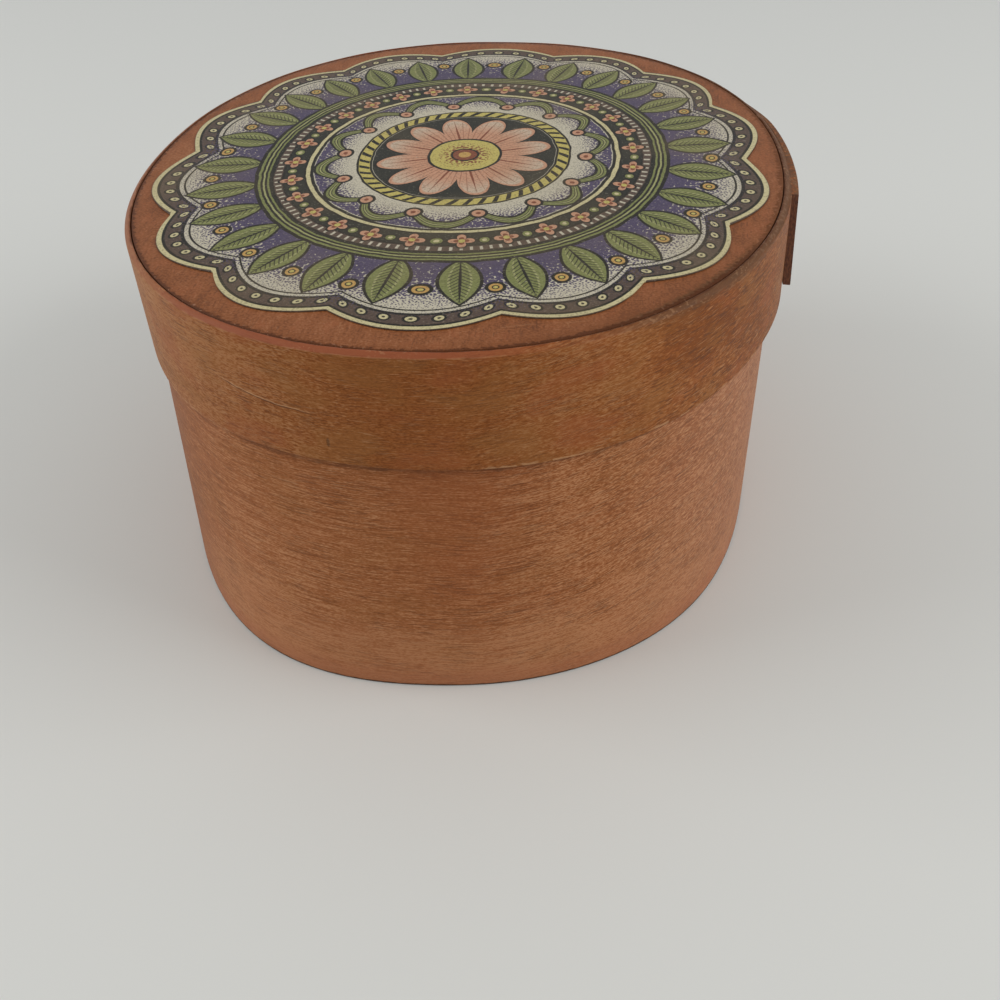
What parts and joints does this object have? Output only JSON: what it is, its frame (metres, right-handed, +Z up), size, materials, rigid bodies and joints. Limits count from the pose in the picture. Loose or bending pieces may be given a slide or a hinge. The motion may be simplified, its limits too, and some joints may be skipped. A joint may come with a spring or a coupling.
{
  "type": "oval bentwood trinket box",
  "caption": "Oval box of bent veneer bands on inset boards, with a deep lift-off lid that has a lapped band and a scalloped paper print on top.",
  "frame": {"origin": "centre of the base's underside, on the surface that the box stands on", "axes": "+Z up through the lid, +Y along the oval's long way, +X across it towards the lid band's lap"},
  "size_m": [0.1032, 0.127, 0.0568],
  "materials": {
    "base_wood": "bare",
    "body_veneer": "stained",
    "lid_veneer": "stained",
    "lid_wood": "stained",
    "print_paper": "satin"
  },
  "bodies": {
    "box": {"base_board": "base_wood", "body_band": "body_veneer"},
    "lid": {"lid_band": "lid_veneer", "lid_board": "lid_wood", "lid_print": "print_paper"}
  },
  "joints": [
    {"name": "lid_lift", "type": "slide", "parent": "box", "child": "lid", "axis": [0, 0, 1], "range_m": [0, 0.06]}
  ]
}
